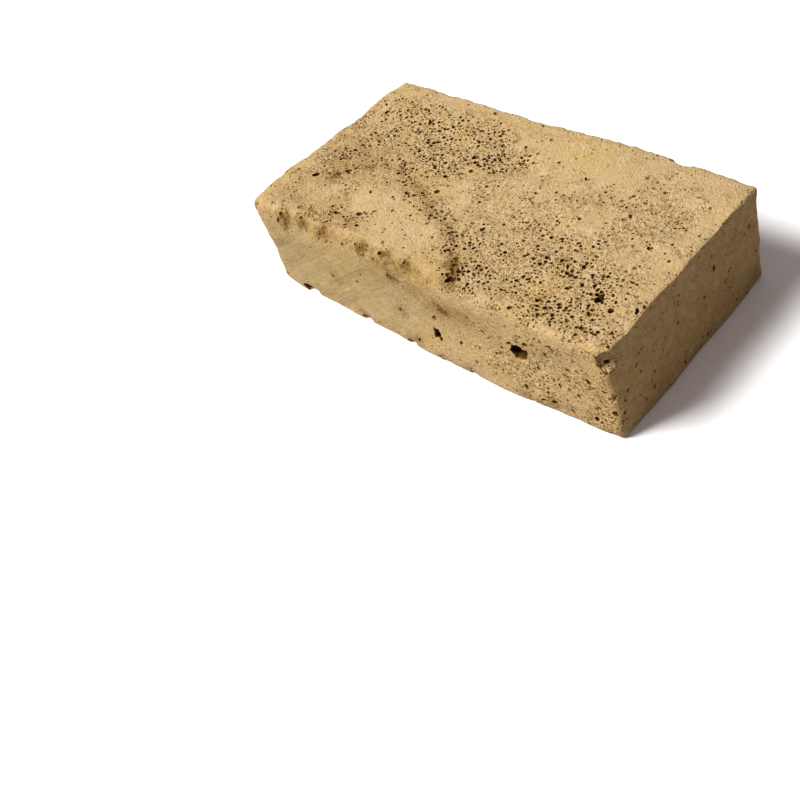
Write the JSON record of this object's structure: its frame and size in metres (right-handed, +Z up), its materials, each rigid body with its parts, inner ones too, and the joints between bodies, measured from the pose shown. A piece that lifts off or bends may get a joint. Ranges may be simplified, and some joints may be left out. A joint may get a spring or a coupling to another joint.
{
  "type": "pumice stone",
  "caption": "A natural pumice stone: a light block of bubbly volcanic rock, sawn to a brick with worn edges and full of open pores, held in the hand to rub skin smooth.",
  "frame": {"origin": "centre of the stone's bounding box, at its sawn base", "axes": "+X along the stone to its darker end, -Y out of the long side with the two large holes, +Z up from the sawn base to the pitted top"},
  "size_m": [0.105, 0.0558, 0.0257],
  "materials": {
    "stone": "matte, rough and porous"
  },
  "bodies": {
    "root": {"pumice_stone": "stone"}
  },
  "joints": []
}
